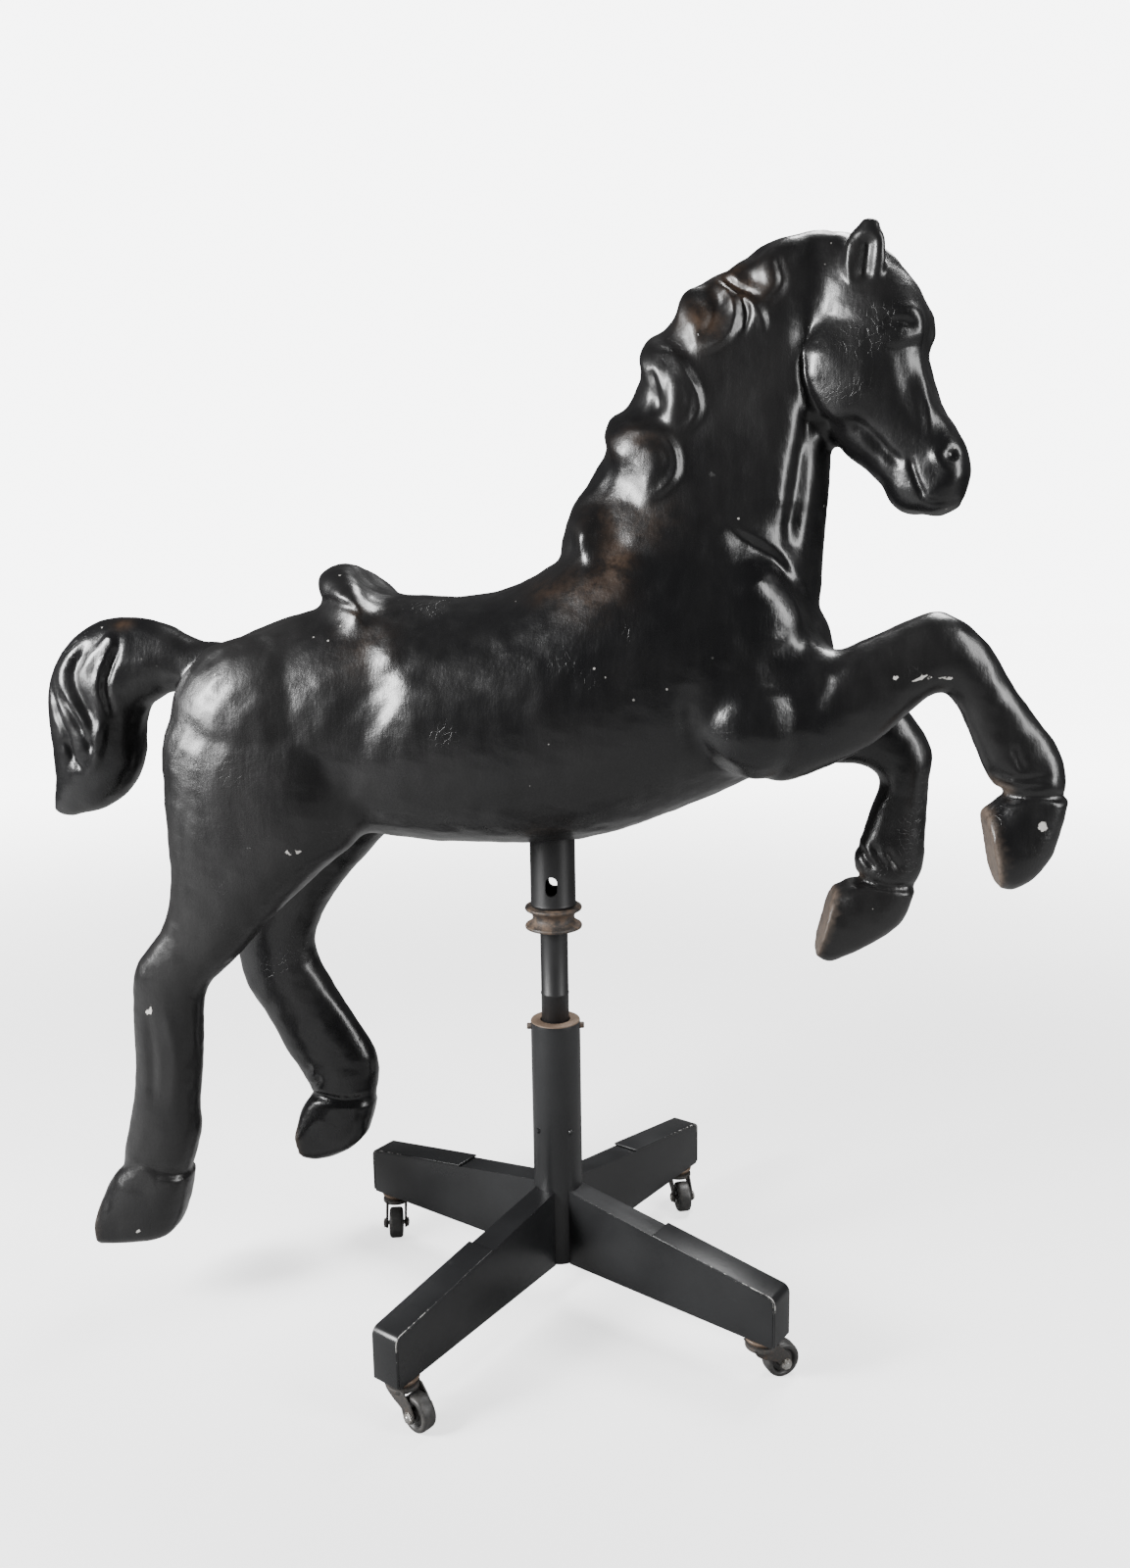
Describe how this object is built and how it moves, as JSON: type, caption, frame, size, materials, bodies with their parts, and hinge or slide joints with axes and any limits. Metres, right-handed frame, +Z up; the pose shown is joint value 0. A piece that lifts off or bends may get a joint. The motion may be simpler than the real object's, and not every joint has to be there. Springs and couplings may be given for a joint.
{
  "type": "carousel horse",
  "caption": "Carousel jumper horse with a carved mane and tail, fixed on a steel pole in a cross-shaped rolling stand with swivel casters.",
  "frame": {"origin": "on the floor, under the middle of the whole object's box; the column axis stands 34.8 mm towards +X of it", "axes": "+X towards the horse's head, +Y to its left, +Z up"},
  "size_m": [1.1936, 0.5653, 1.2558],
  "materials": {
    "horse_paint": "black brushed enamel, satin to gloss, over a lumpy crackled ground, with small white chips",
    "stand_paint": "dark grey satin paint, rubbed bare along a few edges",
    "rusted_steel": "brown dusty rust over dark paint",
    "caster_steel": "dull dark grey with rusty bearings",
    "axle_steel": "worn bright steel",
    "wheel_plastic": "dull dark grey hard plastic"
  },
  "bodies": {
    "horse_and_stand": {"arm_left_front": "stand_paint", "arm_left_rear": "stand_paint", "arm_right_front": "stand_paint", "arm_right_rear": "stand_paint", "caster_bearing_left_front": "caster_steel", "caster_bearing_left_rear": "caster_steel", "caster_bearing_right_front": "caster_steel", "caster_bearing_right_rear": "caster_steel", "column": "stand_paint", "column_bolt_front": "stand_paint", "column_bolt_rear": "stand_paint", "horse": "horse_paint", "post": "stand_paint", "set_screw_front": "rusted_steel", "set_screw_rear": "rusted_steel", "socket_pipe": "stand_paint", "spool_collar": "rusted_steel", "strap_left_front": "stand_paint", "strap_left_rear": "stand_paint", "strap_right_front": "stand_paint", "strap_right_rear": "stand_paint"},
    "swivel_left_front": {"caster_fork_left_front": "caster_steel", "caster_axle_left_front": "axle_steel"},
    "wheel_left_front": {"caster_wheel_left_front": "wheel_plastic"},
    "swivel_left_rear": {"caster_fork_left_rear": "caster_steel", "caster_axle_left_rear": "axle_steel"},
    "wheel_left_rear": {"caster_wheel_left_rear": "wheel_plastic"},
    "swivel_right_rear": {"caster_fork_right_rear": "caster_steel", "caster_axle_right_rear": "axle_steel"},
    "wheel_right_rear": {"caster_wheel_right_rear": "wheel_plastic"},
    "swivel_right_front": {"caster_fork_right_front": "caster_steel", "caster_axle_right_front": "axle_steel"},
    "wheel_right_front": {"caster_wheel_right_front": "wheel_plastic"}
  },
  "joints": [
    {"name": "swivel_left_front", "type": "hinge", "parent": "horse_and_stand", "child": "swivel_left_front", "pos_m": [0.17009, 0.25186, 0.045], "axis": [0, 0, 1], "continuous": true},
    {"name": "roll_left_front", "type": "hinge", "parent": "swivel_left_front", "child": "wheel_left_front", "pos_m": [0.17781, 0.22808, 0.0205], "axis": [0.9511, 0.309, 0], "continuous": true},
    {"name": "swivel_left_rear", "type": "hinge", "parent": "horse_and_stand", "child": "swivel_left_rear", "pos_m": [-0.21606, 0.13637, 0.045], "axis": [0, 0, 1], "continuous": true},
    {"name": "roll_left_rear", "type": "hinge", "parent": "swivel_left_rear", "child": "wheel_left_rear", "pos_m": [-0.21044, 0.11201, 0.0205], "axis": [0.9744, 0.225, 0], "continuous": true},
    {"name": "swivel_right_rear", "type": "hinge", "parent": "horse_and_stand", "child": "swivel_right_rear", "pos_m": [-0.10058, -0.24978, 0.045], "axis": [0, 0, 1], "continuous": true},
    {"name": "roll_right_rear", "type": "hinge", "parent": "swivel_right_rear", "child": "wheel_right_rear", "pos_m": [-0.0801, -0.26412, 0.0205], "axis": [0.5736, 0.8192, 0], "continuous": true},
    {"name": "swivel_right_front", "type": "hinge", "parent": "horse_and_stand", "child": "swivel_right_front", "pos_m": [0.28557, -0.13429, 0.045], "axis": [0, 0, 1], "continuous": true},
    {"name": "roll_right_front", "type": "hinge", "parent": "swivel_right_front", "child": "wheel_right_front", "pos_m": [0.30744, -0.12217, 0.0205], "axis": [-0.4848, 0.8746, 0], "continuous": true}
  ]
}
